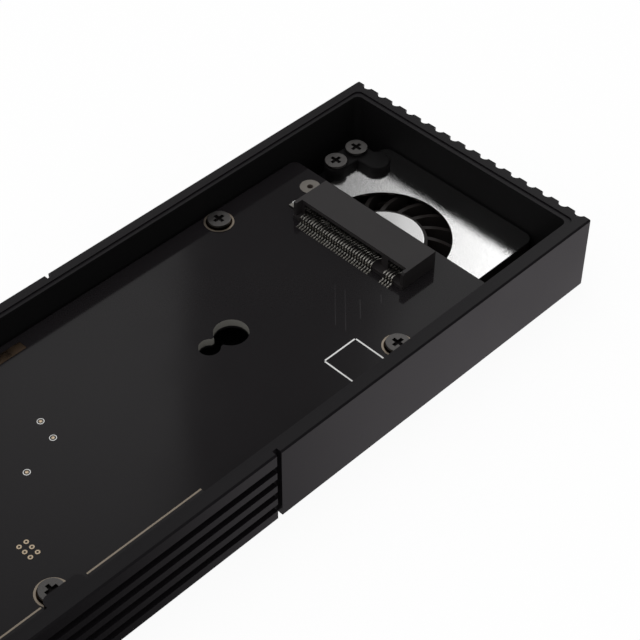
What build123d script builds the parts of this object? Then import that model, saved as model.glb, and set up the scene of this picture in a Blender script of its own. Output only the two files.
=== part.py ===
from build123d import *
import os
from math import cos, degrees, radians, sin, sqrt

# The open lower half of a fan-cooled enclosure for a plug-in flash drive, with its lid off.
# Millimetres. +X points to the fluted end, +Z up, origin at the centre of the underside.

# Case
case_length = 125.0
case_width = 46.0
case_height = 12.4
side_wall = 2.3
end_wall = 2.7
floor_thickness = 1.2
pocket_radius = 1.0
outer_radius = 0.4
edge_break = 0.25
side_land = 1.65
end_land = 1.9
rim_step = 0.22

# Round-bottomed flutes down the end face
flute_pitch = 2.99
flute_width = 1.8
flute_depth = 0.85
flute_margin = 1.1

# Thicker stretch of each side wall beside the second pair of board screws
wall_pad_length = 5.9
wall_pad_shift = 0.4
wall_pad_depth = 1.45
wall_pad_corner = 1.0
wall_pad_clearance = 0.2

# Cooling ribs along both sides, and the upright groove where they begin
smooth_length = 61.7
divider_width = 0.8
side_groove_depth = 0.9
rib_pitch = 2.5
rib_gap = 1.3
top_rib = 2.1

# Main board
board_depth = 4.4
board_thickness = 1.6
board_from_end = 17.0
board_side_gap = 0.7
board_port_gap = 0.3
board_corner = 1.2
keyhole_from_end = 48.95
keyhole_radius = 2.5
keyhole_step = 4.0
keyhole_small_radius = 1.55
keyhole_neck = 1.9

# Screws: a wafer head with a bevelled underside and a cross recess
head_radius = 1.75
head_height = 0.65
head_round = 0.12
head_bevel = 0.3
recess_width = 0.56
recess_span = 1.8
recess_depth = 0.5
thread_radius = 0.95
thread_clearance = 0.05
shank_clearance = 0.2
thread_length = 3.6
first_screws_from_end = 34.7
second_screws_from_end = 93.7
first_screw_edge_margin = 2.2
second_screw_edge_margin = 3.25
boss_radius = 2.6
boss_web = 2.0
ring_radius = 2.24

# Drive socket
socket_length = 21.7
socket_height = 3.0
socket_back_from_end = 19.6
roof_reach = 5.48
cheek_reach = 6.65
base_reach = 6.8
cheek_width = 1.1
cheek_arm_width = 0.55
roof_thickness = 0.62
base_thickness = 0.6
back_wall_near = 0.35
back_wall_far = 0.95
back_wall_height = 1.75
contact_pitch = 0.5
contact_width = 0.2
contact_thickness = 0.12
contact_run = 9.25
long_row_count = 29
key_gap_count = 5
lower_short_count = 4
upper_short_count = 5
contact_clearance = 0.12
contact_bend = 0.3
lower_foot = 0.85
upper_foot = 0.95
spring_reach = 1.13
spring_sag = 0.02
upper_spring_reach = 0.9
upper_spring_sag = 0.3
upper_tip_reach = 0.42
upper_tip_sag = 0.18
roof_clearance = 0.04
roof_slope = 0.3
tab_near = 4.7
tab_far = 5.35
tab_foot = 2.3
tab_sheet = 0.2
tab_height = 1.2
tab_inset = 0.1
key_centre = -6.25
key_width = 1.2
card_height = 1.35

# Standoff under the far end of the drive, 80 mm from the socket's stop in this case
standoff_from_port_end = 22.06
standoff_radius = 2.6
standoff_neck_radius = 1.6
standoff_neck = 1.2
standoff_fit = 0.05
standoff_break = 0.15

# Blower
fan_from_end = 18.4
fan_inlet_radius = 10.0
blower_end_gap = 0.3
blower_near_side = 15.6
blower_far_side = 14.1
blower_wall_room = 6.6
blower_corner = 1.6
blower_depth = 6.4
blower_base = 0.7
cover_thickness = 0.4
scroll_wall = 0.9
scroll_start = 12.3
scroll_growth = 0.6
outlet_width = 13.0
blade_count = 17
blade_start = 6.7
blade_thickness = 0.7
blade_crown = 0.25
blade_crown_angle = 40.0
blade_sweep = 23.0
blade_bend = 0.45
blade_root = 0.2
impeller_radius = 11.5
impeller_ring = 0.7
impeller_gap = 0.35
hub_radius = 6.35
can_radius = 6.0
can_wall = 0.35
can_proud = 0.1
can_round = 0.3
magnet_wall = 0.8
magnet_top_gap = 0.3
magnet_bottom_gap = 0.1
air_gap = 0.25
stator_teeth = 6
stator_top_room = 0.7
stator_lift = 0.5
stator_hub = 0.8
tooth_width = 0.8
tooth_shoe = 0.5
tooth_slot = 0.7
winding_build = 0.33
winding_clearance = 0.02
bearing_radius = 1.3
bearing_gap = 0.35
bearing_cup_wall = 0.5
bearing_proud = 0.8
shaft_radius = 0.5
shaft_clearance = 0.03
shaft_end_gap = 0.1

# Bracket that clamps the blower's corner
bracket_from_rim = 5.2
bracket_lobe = 1.75
bracket_first_from_end = 12.42
bracket_screw_pitch = 4.46
clamp_lobe = 2.1
clamp_from_end = 7.4
clamp_reach = 3.8
bracket_post_radius = 1.6
bracket_post_gap = 0.1
bracket_edge_round = 0.3

# Port at the other end
port_width = 8.94
port_height = 3.2
port_depth = 7.3
port_shell = 0.3
port_inset = 0.6
port_opening_gap = 0.4
port_back = 0.4
port_block = 1.2
tongue_break = 0.15
tongue_width = 6.7
tongue_thickness = 0.7
tongue_length = 4.6

# Parts on the underside of the board
bridge_chip_side = 12.0
bridge_chip_height = 1.3
bridge_chip_from_end = 68.0
bridge_chip_break = 0.15
thermal_pad_margin = 0.5
thermal_pad_corner = 0.3
pedestal_corner = 0.8
thermal_pad_thickness = 1.0
inductor_side = 4.2
inductor_height = 2.4
inductor_pitch = 6.0
inductors_from_end = 84.0
inductor_corner = 0.5
inductor_break = 0.25
chip_side = 5.0
chip_height = 0.9
chip_offset = 7.0
chip_break = 0.1
chips_from_end = 52.0

# Bare metal on the face of the board
plating = 0.06
edge_strip_width = 1.55
edge_strip_edge_margin = 1.05
edge_strip_start = 70.5
edge_strip_end_margin = 4.0
strip_gap_before_ring = 2.45
strip_gap_after_ring = 0.05
test_pad_spots = [(77.56, 5.58), (78.2, 2.23), (84.2, 0.05)]
test_pad_radius = 0.5
test_pad_hole = 0.16
via_radius = 0.34
via_hole = 0.155
via_pitch = 1.1
via_block_from_end = 91.14
via_block_offset = -9.71
tin_pad_radius = 1.54
tin_pad_hole = 0.47
tin_pad_from_end = 19.75
tin_pad_socket_gap = 1.6

# Levels and ends that follow from the sizes above
fluted_end = case_length / 2
port_end = -case_length / 2
half_width = case_width / 2
board_top = case_height - board_depth
board_bottom = board_top - board_thickness
cover_top = case_height - blower_depth
cover_bottom = cover_top - cover_thickness
bracket_top = case_height - bracket_from_rim


def from_end(distance):
    """X of something this far from the fluted end."""
    return fluted_end - distance


fan_x = from_end(fan_from_end)
fan_y = half_width - side_wall - blower_wall_room - blower_far_side
board_right = from_end(board_from_end)
board_left = port_end + end_wall + board_port_gap
board_half_width = half_width - side_wall - board_side_gap
tin_pad_offset = socket_length / 2 + tin_pad_socket_gap + tin_pad_radius
bracket_screw_offset = fan_y + blower_far_side + bracket_post_gap + bracket_post_radius
clamp_offset = bracket_screw_offset - clamp_reach
socket_back = from_end(socket_back_from_end)
standoff_x = port_end + standoff_from_port_end
blower_right = fluted_end - end_wall - blower_end_gap
blower_left = fan_x - scroll_start - scroll_wall
blower_floor = floor_thickness + blower_base
can_top = cover_top - can_proud
blade_bottom = blower_floor + impeller_gap
bearing_top = can_top - can_wall - bearing_gap
stator_radius = can_radius - can_wall - magnet_wall - air_gap
stator_bottom = blade_bottom + stator_lift
stator_top = can_top - can_wall - stator_top_room - winding_build - winding_clearance


def slab(x0, x1, y0, y1, z0, z1, radius=0.0):
    """An upright plate between two corners, with rounded upright edges."""
    outline = Rectangle(x1 - x0, y1 - y0)
    if radius > 0:
        outline = RectangleRounded(x1 - x0, y1 - y0, radius)
    return extrude(Pos((x0 + x1) / 2, (y0 + y1) / 2, z0) * outline, z1 - z0)


def post(x, y, z0, z1, radius):
    """An upright cylinder."""
    return Pos(x, y, (z0 + z1) / 2) * Cylinder(radius, z1 - z0)


def tube(x, y, z0, z1, outer, inner):
    """An upright ring."""
    return post(x, y, z0, z1, outer) - post(x, y, z0, z1, inner)


def group(solids):
    """Separate solids kept in one node."""
    return Compound(children=list(solids))


def board_screw_spots():
    pairs = [(first_screws_from_end, first_screw_edge_margin),
             (second_screws_from_end, second_screw_edge_margin)]
    return [(from_end(x), side * (board_half_width - margin)) for x, margin in pairs for side in (-1, 1)]


def bracket_screw_spots():
    first = from_end(bracket_first_from_end)
    return [(first, bracket_screw_offset), (first + bracket_screw_pitch, bracket_screw_offset)]


# Case

def flute_cuts():
    """Round-bottomed cutters, one for each flute on the end face."""
    radius = (flute_width ** 2 / 4 + flute_depth ** 2) / (2 * flute_depth)
    count = int((case_width - 2 * flute_margin - flute_width) / flute_pitch) + 1
    x = fluted_end + radius - flute_depth
    rows = [(i - (count - 1) / 2) * flute_pitch for i in range(count)]
    return [post(x, y, -1, case_height + 1, radius) for y in rows]


def side_cuts():
    """The upright groove and the long grooves between the ribs, on both sides."""
    divider = from_end(smooth_length)
    count = int((case_height - top_rib) / rib_pitch)
    cuts = []
    for side in (-1, 1):
        outer = side * (half_width + 1)
        inner = side * (half_width - side_groove_depth)
        low, high = min(outer, inner), max(outer, inner)
        cuts.append(slab(divider - divider_width, divider, low, high, -1, case_height + 1))
        for i in range(count):
            top = case_height - top_rib - i * rib_pitch
            cuts.append(slab(port_end - 1, divider, low, high, top - rib_gap, top))
    return cuts


def pocket_cuts():
    """The hollow for the board, and the shallow step round it for the lid."""
    left, right = port_end + end_wall, fluted_end - end_wall
    side = half_width - side_wall
    hollow = slab(left, right, -side, side, floor_thickness, case_height + 1, pocket_radius)
    edge_x, edge_y = case_length / 2 - end_land, half_width - side_land
    step = slab(-edge_x, edge_x, -edge_y, edge_y, case_height - rim_step, case_height + 1, pocket_radius)
    return [hollow, step]


def wall_pads(clearance=0.0):
    """The thicker stretches of the side walls, or the room that the board leaves for them."""
    middle = from_end(second_screws_from_end + wall_pad_shift)
    half = wall_pad_length / 2 + clearance
    inner = half_width - side_wall - wall_pad_depth - clearance
    outer = half_width - side_wall + wall_pad_corner
    return [slab(middle - half, middle + half, min(side * inner, side * outer),
                 max(side * inner, side * outer), floor_thickness, case_height - rim_step,
                 wall_pad_corner) for side in (-1, 1)]


def port_cut():
    """The opening in the end wall round the port's shell."""
    width = port_width + 2 * port_opening_gap
    height = port_height + 2 * port_opening_gap
    middle = board_top + port_height / 2
    outline = Plane.YZ * SlotOverall(width, height)
    return Pos(port_end - 1, 0, middle) * extrude(outline, end_wall + 2)


def case_bosses():
    """Posts that carry the board and the blower's bracket, and the pad under the hot chip."""
    bosses = []
    for x, y in board_screw_spots():
        wall = y / abs(y) * half_width
        bosses.append(post(x, y, floor_thickness, board_bottom, boss_radius))
        bosses.append(slab(x - boss_web / 2, x + boss_web / 2, min(y, wall), max(y, wall),
                           floor_thickness, board_bottom))
    for x, y in bracket_screw_spots():
        bosses.append(post(x, y, floor_thickness, cover_top, bracket_post_radius))
    x = from_end(bridge_chip_from_end)
    half = bridge_chip_side / 2
    top = board_bottom - bridge_chip_height - thermal_pad_thickness
    bosses.append(slab(x - half, x + half, -half, half, floor_thickness, top, pedestal_corner))
    return bosses


def screw_holes():
    radius = thread_radius + thread_clearance
    holes = []
    for x, y in board_screw_spots():
        bottom = board_top - thread_length - shank_clearance
        holes.append(post(x, y, bottom, board_bottom + 1, radius))
    for x, y in bracket_screw_spots():
        bottom = bracket_top - thread_length - shank_clearance
        holes.append(post(x, y, bottom, cover_top + 1, radius))
    return holes


def enclosure_tray():
    block = slab(port_end, fluted_end, -half_width, half_width, 0, case_height, outer_radius)
    block = chamfer(block.faces().sort_by(Axis.Z)[-1].edges(), edge_break)
    block = block - pocket_cuts()
    inside = slab(port_end + 1, fluted_end - 1, 1 - half_width, half_width - 1, 0, case_height)
    bosses = [boss & inside for boss in case_bosses()]
    block = block + bosses + wall_pads()
    return block - flute_cuts() - side_cuts() - screw_holes() - [port_cut()]


# Board

def keyhole():
    """A large and a small round hole joined by a neck, for a drive of the short size."""
    x = from_end(keyhole_from_end)
    z0, z1 = board_bottom - 1, board_top + 1
    large = post(x, 0, z0, z1, keyhole_radius)
    small = post(x - keyhole_step, 0, z0, z1, keyhole_small_radius)
    neck = slab(x - keyhole_step, x, -keyhole_neck / 2, keyhole_neck / 2, z0, z1)
    return large + small + neck


def main_board():
    side = board_half_width
    board = slab(board_left, board_right, -side, side, board_bottom, board_top, board_corner)
    holes = [post(x, y, board_bottom - 1, board_top + 1, thread_radius + shank_clearance)
             for x, y in board_screw_spots()]
    holes.append(post(standoff_x, 0, board_bottom - 1, board_top + 1, standoff_neck_radius))
    x, y = from_end(tin_pad_from_end), tin_pad_offset
    holes.append(post(x, y, board_bottom - 1, board_top + 1, tin_pad_hole))
    return board - holes - keyhole() - wall_pads(wall_pad_clearance)


# Screws

def cross_screw(x, y, seat):
    """A screw whose head rests on the level called seat."""
    head = post(x, y, seat, seat + head_height, head_radius)
    head = fillet(head.edges().sort_by(Axis.Z)[-1], head_round)
    head = chamfer(head.edges().sort_by(Axis.Z)[0], head_bevel)
    shank = post(x, y, seat - thread_length, seat, thread_radius)
    floor = seat + head_height - recess_depth
    arm = Rectangle(recess_span, recess_width) + Rectangle(recess_width, recess_span)
    recess = extrude(Pos(x, y, floor) * arm, recess_depth + 1)
    return head + shank - recess


def board_screws():
    return group(cross_screw(x, y, board_top + plating) for x, y in board_screw_spots())


def bracket_screws():
    return group(cross_screw(x, y, bracket_top) for x, y in bracket_screw_spots())


# Drive socket

def socket_x(reach):
    """X of something this far forward of the socket's back."""
    return socket_back - reach


def socket_housing():
    """Base, back wall, cheeks and roof of the edge socket, open towards the drive."""
    half = socket_length / 2
    low = board_top
    high = low + socket_height
    inner = half - cheek_width
    base = slab(socket_x(base_reach), socket_x(back_wall_near), -half, half, low, low + base_thickness)
    back = slab(socket_x(back_wall_far), socket_x(back_wall_near), -inner, inner, low,
                low + back_wall_height)
    roof = slab(socket_x(roof_reach), socket_back, -half, half, high - roof_thickness, high)
    body = base + back + roof
    for side in (-1, 1):
        outer = side * half
        for reach, width in ((roof_reach, cheek_width), (cheek_reach, cheek_arm_width)):
            near = side * (half - width)
            body += slab(socket_x(reach), socket_back, min(outer, near), max(outer, near), low, high)
    key = slab(socket_x(roof_reach), socket_x(back_wall_far), key_centre - key_width / 2,
               key_centre + key_width / 2, low, high)
    body += key
    slope = body.edges().filter_by(Axis.Y).group_by(Axis.Z)[-1].sort_by(Axis.X)[0]
    return chamfer(slope, roof_slope)


def strip_outline(path, thickness):
    """Closed outline of a bent metal strip whose middle follows the path."""
    left, right = [], []
    for i, (x, z) in enumerate(path):
        before = path[max(i - 1, 0)]
        after = path[min(i + 1, len(path) - 1)]
        a = (x - before[0], z - before[1])
        b = (after[0] - x, after[1] - z)
        a = b if i == 0 else a
        b = a if i == len(path) - 1 else b
        la, lb = sqrt(a[0] ** 2 + a[1] ** 2), sqrt(b[0] ** 2 + b[1] ** 2)
        n = (-(a[1] / la + b[1] / lb), a[0] / la + b[0] / lb)
        dot = n[0] * -a[1] / la + n[1] * a[0] / la
        n = (n[0] / dot * thickness / 2, n[1] / dot * thickness / 2)
        left.append((x + n[0], z + n[1]))
        right.append((x - n[0], z - n[1]))
    return left + right[::-1]


def contact(path, y):
    """One spring contact: reach forward of the socket's back and height over the board."""
    points = [(socket_x(reach), board_top + height) for reach, height in path]
    outline = Plane.XZ * make_face(Polyline(*strip_outline(points, contact_thickness), close=True))
    strip = extrude(outline, contact_width / 2, both=True)
    return Pos(0, y, 0) * strip


def contact_rows(first, wide, narrow):
    """Y of each contact: the long row, then the short row past the key."""
    long_row = [first - contact_pitch * i for i in range(wide)]
    start = long_row[-1] - contact_pitch * key_gap_count
    return long_row + [start - contact_pitch * i for i in range(narrow)]


def lower_contacts():
    """Contacts for the drive's underside, with their feet on the board in front."""
    half = contact_thickness / 2
    front = base_reach + half + contact_clearance
    top = card_height - spring_sag
    path = [(front + lower_foot, half), (front + contact_bend, half), (front, contact_bend),
            (front, top - contact_bend / 2), (front - contact_bend, top), (front - spring_reach, top),
            (front - 2 * spring_reach, base_thickness + contact_bend),
            (back_wall_far, base_thickness + contact_clearance)]
    rows = contact_rows(contact_run - contact_pitch / 2, long_row_count, lower_short_count)
    return group(contact(path, y) for y in rows)


def upper_contacts():
    """Contacts for the drive's upper face, with their feet behind the socket."""
    half = contact_thickness / 2
    leg = back_wall_near - half - contact_clearance
    under_roof = socket_height - roof_thickness - half - roof_clearance
    path = [(leg - upper_foot, half), (leg - contact_bend, half), (leg, contact_bend),
            (leg, under_roof - contact_bend), (leg + contact_bend, under_roof),
            (roof_reach - 3 * upper_spring_reach, under_roof),
            (roof_reach - upper_spring_reach, under_roof - upper_spring_sag),
            (roof_reach + upper_tip_reach, under_roof - upper_tip_sag)]
    rows = contact_rows(contact_run, long_row_count, upper_short_count)
    return group(contact(path, y) for y in rows)


def socket_tabs():
    """Tinned foot that solders the socket's far cheek to the board."""
    y = socket_length / 2
    foot = slab(socket_x(tab_far), socket_x(tab_near), y, y + tab_foot, board_top,
                board_top + tab_sheet)
    leaf = slab(socket_x(tab_far - tab_inset), socket_x(tab_near + tab_inset), y, y + tab_sheet,
                board_top, board_top + tab_height)
    return foot + leaf


def drive_standoff():
    """Threaded seat for the screw that holds the drive's far end."""
    collar = post(standoff_x, 0, board_top, board_top + card_height, standoff_radius)
    neck = post(standoff_x, 0, board_top - standoff_neck, board_top,
                standoff_neck_radius - standoff_fit)
    hole = post(standoff_x, 0, board_top - standoff_neck - 1, board_top + card_height + 1,
                thread_radius + thread_clearance)
    collar = chamfer(collar.edges().sort_by(Axis.Z)[-1], standoff_break)
    return collar + neck - hole


# Blower

def blower_outline(z0, z1):
    near, far = fan_y - blower_near_side, fan_y + blower_far_side
    return slab(blower_left, blower_right, near, far, z0, z1, blower_corner)


def scroll_hollow(z0, z1):
    """The snail-shaped air path in one outline: a tight arc, two wider quarter arcs, then the outlet."""
    first, second = scroll_start + scroll_growth, scroll_start + 2 * scroll_growth
    top = (0, scroll_start)
    side = (first, scroll_start - first)
    low = (side[0] - second, side[1] - second)
    lip = low[1] + outlet_width
    tongue = (-sqrt(scroll_start ** 2 - lip ** 2), lip)
    mouth = -scroll_start - 2 * scroll_wall
    lean = sqrt(0.5)
    first_mid = (first * lean, side[1] + first * lean)
    second_mid = (low[0] + second * lean, side[1] - second * lean)
    tight_mid = (-scroll_start * lean, scroll_start * lean)
    outline = [ThreePointArc(top, first_mid, side), ThreePointArc(side, second_mid, low),
               Polyline(low, (mouth, low[1]), (mouth, lip), tongue),
               ThreePointArc(tongue, tight_mid, top)]
    return extrude(Pos(fan_x, fan_y, z0) * make_face(Curve() + outline), z1 - z0)


def blower_housing():
    floor = blower_outline(floor_thickness, blower_floor)
    wall = blower_outline(blower_floor, cover_bottom) - scroll_hollow(blower_floor, cover_bottom)
    cup = tube(fan_x, fan_y, blower_floor, bearing_top - bearing_proud, bearing_radius + bearing_cup_wall,
               bearing_radius)
    return floor + wall + cup


def blower_cover():
    """Pressed metal lid of the blower, with the round inlet."""
    plate = blower_outline(cover_bottom, cover_top)
    return plate - post(fan_x, fan_y, cover_bottom - 1, cover_top + 1, fan_inlet_radius)


def polar(radius, angle):
    return (fan_x + radius * cos(radians(angle)), fan_y + radius * sin(radians(angle)))


def blade(angle, z0, z1):
    """One blade, swept forward along an arc from the hub to the rim."""
    root, tip = hub_radius - blade_root, impeller_radius
    mid = (root + tip) / 2
    half = degrees(blade_thickness / 2)
    start_a, start_b = polar(root, angle + half / root), polar(root, angle - half / root)
    bend = angle - blade_sweep * blade_bend
    end = angle - blade_sweep
    mid_a, mid_b = polar(mid, bend + half / mid), polar(mid, bend - half / mid)
    end_a, end_b = polar(tip, end + half / tip), polar(tip, end - half / tip)
    edges = [ThreePointArc(start_a, mid_a, end_a), Line(end_a, end_b),
             ThreePointArc(end_b, mid_b, start_b), Line(start_b, start_a)]
    outline = make_face(Curve() + edges)
    crown = extrude(Pos(0, 0, z1 - blade_crown) * outline, blade_crown, taper=blade_crown_angle)
    return extrude(Pos(0, 0, z0) * outline, z1 - blade_crown - z0) + crown


def impeller():
    """Plastic blades on a sleeve round the rotor can, tied by a thin ring at their feet."""
    z0 = blade_bottom
    z1 = cover_bottom - impeller_gap
    sleeve = tube(fan_x, fan_y, z0, can_top - can_round, hub_radius, can_radius)
    rim = tube(fan_x, fan_y, z0, z0 + impeller_ring, impeller_radius, impeller_radius - impeller_ring)
    wheel = sleeve + rim
    wheel += [blade(blade_start + i * 360 / blade_count, z0, z1) for i in range(blade_count)]
    keep = post(fan_x, fan_y, z0, z1 + 2, impeller_radius)
    return wheel & keep


def rotor_can():
    """Drawn steel cup of the motor, with its rounded top showing in the inlet."""
    z0, z1 = blade_bottom, can_top
    can = post(fan_x, fan_y, z0, z1, can_radius)
    can = fillet(can.edges().sort_by(Axis.Z)[-1], can_round)
    can = can - post(fan_x, fan_y, z0 - 1, z1 - can_wall, can_radius - can_wall)
    return can


def rotor_magnet():
    outer = can_radius - can_wall
    top = can_top - can_wall - magnet_top_gap
    return tube(fan_x, fan_y, blade_bottom + magnet_bottom_gap, top, outer, outer - magnet_wall)


def rotor_shaft():
    return post(fan_x, fan_y, blower_floor + shaft_end_gap, can_top - can_wall, shaft_radius)


def shaft_bearing():
    """Sintered sleeve in the housing's cup."""
    return tube(fan_x, fan_y, blower_floor, bearing_top, bearing_radius, shaft_radius + shaft_clearance)


def stator_core():
    """Laminated core with T-shaped teeth, pressed on the housing's cup."""
    outer = stator_radius
    z0, z1 = stator_bottom, stator_top
    cup = bearing_radius + bearing_cup_wall
    core = tube(fan_x, fan_y, z0, z1, cup + stator_hub, cup)
    shoe = tube(fan_x, fan_y, z0, z1, outer, outer - tooth_shoe)
    for i in range(stator_teeth):
        turn = Pos(fan_x, fan_y, 0) * Rot(0, 0, i * 360 / stator_teeth)
        core += turn * slab(cup + stator_hub / 2, outer - tooth_shoe / 2,
                            -tooth_width / 2, tooth_width / 2, z0, z1)
        half_turn = Pos(fan_x, fan_y, 0) * Rot(0, 0, (i + 0.5) * 360 / stator_teeth)
        shoe -= half_turn * slab(outer - 1, outer + 1, -tooth_slot / 2, tooth_slot / 2, z0 - 1, z1 + 1)
    return core + shoe


def stator_windings():
    """A copper coil round each tooth."""
    inside = bearing_radius + bearing_cup_wall + stator_hub + 3 * winding_clearance
    outside = stator_radius - tooth_shoe - 5 * winding_clearance
    z0, z1 = stator_bottom - winding_clearance, stator_top + winding_clearance
    half = tooth_width / 2 + winding_clearance
    coils = []
    for i in range(stator_teeth):
        turn = Pos(fan_x, fan_y, 0) * Rot(0, 0, i * 360 / stator_teeth)
        coil = slab(inside, outside, -half - winding_build, half + winding_build,
                    z0 - winding_build, z1 + winding_build)
        coils.append(turn * (coil - slab(inside - 1, outside + 1, -half, half, z0, z1)))
    return group(coils)


def fan_bracket():
    """Three-lobed clamp: two lobes take screws and the third presses on the blower."""
    z0, z1 = cover_top, bracket_top
    (x0, y0), (x1, y1) = bracket_screw_spots()
    clamp_x = from_end(clamp_from_end)
    plate = post(x0, y0, z0, z1, bracket_lobe) + post(x1, y1, z0, z1, bracket_lobe)
    plate += slab(x0, x1, y0 - bracket_lobe, y0 + bracket_lobe, z0, z1)
    plate += post(clamp_x, clamp_offset, z0, z1, clamp_lobe)
    plate += slab(clamp_x - clamp_lobe, x1 + bracket_lobe, clamp_offset, y0, z0, z1)
    plate = fillet(plate.faces().sort_by(Axis.Z)[-1].edges(), bracket_edge_round)
    holes = [post(x, y, z0 - 1, z1 + 1, thread_radius + shank_clearance)
             for x, y in bracket_screw_spots()]
    return plate - holes


# Port

def port_x():
    """X of the port's open mouth."""
    return port_end + port_inset


def port_shell_part():
    """Drawn steel shell with round sides, closed at the back."""
    middle = board_top + port_height / 2
    outer = extrude(Plane.YZ * SlotOverall(port_width, port_height), port_depth)
    inner = extrude(Plane.YZ * SlotOverall(port_width - 2 * port_shell, port_height - 2 * port_shell),
                    port_depth - port_back)
    return Pos(port_x(), 0, middle) * (outer - inner)


def port_tongue():
    """Plastic tongue in the port's mouth."""
    middle = board_top + port_height / 2
    back = port_x() + port_depth - port_back
    block = extrude(Plane.YZ * SlotOverall(port_width - 2 * port_shell, port_height - 2 * port_shell),
                    -port_block)
    block = Pos(back, 0, middle) * block
    front = back - port_block - tongue_length
    tongue = slab(front, back - port_block / 2, -tongue_width / 2, tongue_width / 2,
                  middle - tongue_thickness / 2, middle + tongue_thickness / 2)
    tongue = chamfer(tongue.faces().sort_by(Axis.X)[0].edges().filter_by(Axis.Y), tongue_break)
    return block + tongue


# Parts under the board

def bridge_chip():
    x = from_end(bridge_chip_from_end)
    half = bridge_chip_side / 2
    chip = slab(x - half, x + half, -half, half, board_bottom - bridge_chip_height, board_bottom)
    return chamfer(chip.faces().sort_by(Axis.Z)[0].edges(), bridge_chip_break)


def thermal_pad():
    x = from_end(bridge_chip_from_end)
    half = bridge_chip_side / 2 - thermal_pad_margin
    top = board_bottom - bridge_chip_height
    return slab(x - half, x + half, -half, half, top - thermal_pad_thickness, top, thermal_pad_corner)


def power_inductors():
    parts = []
    half = inductor_side / 2
    x = from_end(inductors_from_end)
    for i in range(3):
        y = (i - 1) * inductor_pitch
        body = slab(x - half, x + half, y - half, y + half, board_bottom - inductor_height,
                    board_bottom, inductor_corner)
        parts.append(chamfer(body.faces().sort_by(Axis.Z)[0].edges(), inductor_break))
    return group(parts)


def support_chips():
    parts = []
    half = chip_side / 2
    x = from_end(chips_from_end)
    for side in (-1, 1):
        y = side * chip_offset
        body = slab(x - half, x + half, y - half, y + half, board_bottom - chip_height, board_bottom)
        parts.append(chamfer(body.faces().sort_by(Axis.Z)[0].edges(), chip_break))
    return group(parts)


# Bare metal on the board

def screw_rings():
    """Plated rings round the board's screw holes."""
    inner = thread_radius + shank_clearance
    return group(tube(x, y, board_top, board_top + plating, ring_radius, inner)
                 for x, y in board_screw_spots())


def edge_strips():
    """Plated strips along both long edges, broken where the screws are."""
    break_start = second_screws_from_end - ring_radius - strip_gap_before_ring
    break_end = second_screws_from_end + ring_radius + strip_gap_after_ring
    last = from_end(0) - board_left - edge_strip_end_margin
    strips = []
    for near, far in ((edge_strip_start, break_start), (break_end, last)):
        for side in (-1, 1):
            b = side * (board_half_width - edge_strip_edge_margin)
            a = b - side * edge_strip_width
            strips.append(slab(from_end(far), from_end(near), min(a, b), max(a, b), board_top,
                               board_top + plating))
    return group(strips)


def test_pads():
    """Three small probe rings on the face of the board."""
    return group(tube(from_end(x), y, board_top, board_top + plating, test_pad_radius, test_pad_hole)
                 for x, y in test_pad_spots)


def via_rings():
    """A block of two by three plated holes."""
    rings = []
    for column in range(2):
        for row in range(3):
            x = from_end(via_block_from_end + column * via_pitch)
            y = via_block_offset + (row - 1) * via_pitch
            rings.append(tube(x, y, board_top, board_top + plating, via_radius, via_hole))
    return group(rings)


def tin_pad():
    x, y = from_end(tin_pad_from_end), tin_pad_offset
    return tube(x, y, board_top, board_top + plating, tin_pad_radius, tin_pad_hole)


PARTS = {
    "enclosure_tray": enclosure_tray,
    "main_board": main_board,
    "board_screws": board_screws,
    "bracket_screws": bracket_screws,
    "socket_housing": socket_housing,
    "socket_lower_contacts": lower_contacts,
    "socket_upper_contacts": upper_contacts,
    "socket_tabs": socket_tabs,
    "drive_standoff": drive_standoff,
    "blower_housing": blower_housing,
    "blower_cover": blower_cover,
    "fan_bracket": fan_bracket,
    "impeller": impeller,
    "rotor_can": rotor_can,
    "rotor_magnet": rotor_magnet,
    "rotor_shaft": rotor_shaft,
    "shaft_bearing": shaft_bearing,
    "stator_core": stator_core,
    "stator_windings": stator_windings,
    "port_shell": port_shell_part,
    "port_tongue": port_tongue,
    "bridge_chip": bridge_chip,
    "thermal_pad": thermal_pad,
    "power_inductors": power_inductors,
    "support_chips": support_chips,
    "screw_rings": screw_rings,
    "edge_strips": edge_strips,
    "test_pads": test_pads,
    "via_rings": via_rings,
    "tin_pad": tin_pad,
}


def main():
    os.makedirs("parts", exist_ok=True)
    for name, make in PARTS.items():
        export_step(make(), f"parts/{name}.step")


main()
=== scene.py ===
import math

import bmesh
import bpy
from mathutils import Matrix, Vector


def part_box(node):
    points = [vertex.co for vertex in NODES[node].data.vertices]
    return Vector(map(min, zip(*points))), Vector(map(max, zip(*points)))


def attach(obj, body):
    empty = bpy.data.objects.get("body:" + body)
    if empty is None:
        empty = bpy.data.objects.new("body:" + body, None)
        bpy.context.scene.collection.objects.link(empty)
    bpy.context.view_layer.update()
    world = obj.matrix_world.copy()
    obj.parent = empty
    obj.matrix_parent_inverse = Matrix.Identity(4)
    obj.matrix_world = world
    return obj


bl_info = {
    "name": "Drive enclosure dresser",
    "version": (1, 0, 0),
    "blender": (4, 5, 0),
    "location": "3D View > Sidebar > Enclosure",
    "description": "Finishes the open drive enclosure, its board, edge socket and blower",
    "category": "Object",
}

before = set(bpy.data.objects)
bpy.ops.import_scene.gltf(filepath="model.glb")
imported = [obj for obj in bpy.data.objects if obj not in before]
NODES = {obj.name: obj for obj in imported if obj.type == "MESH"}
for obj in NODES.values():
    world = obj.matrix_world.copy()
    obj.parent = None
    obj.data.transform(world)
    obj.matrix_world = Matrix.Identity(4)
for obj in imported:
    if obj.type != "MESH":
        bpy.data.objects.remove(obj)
MM = 0.001


def middle(node):
    """The middle of a node's box, seen from above."""
    low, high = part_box(node)
    return ((low.x + high.x) / 2, (low.y + high.y) / 2)


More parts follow.
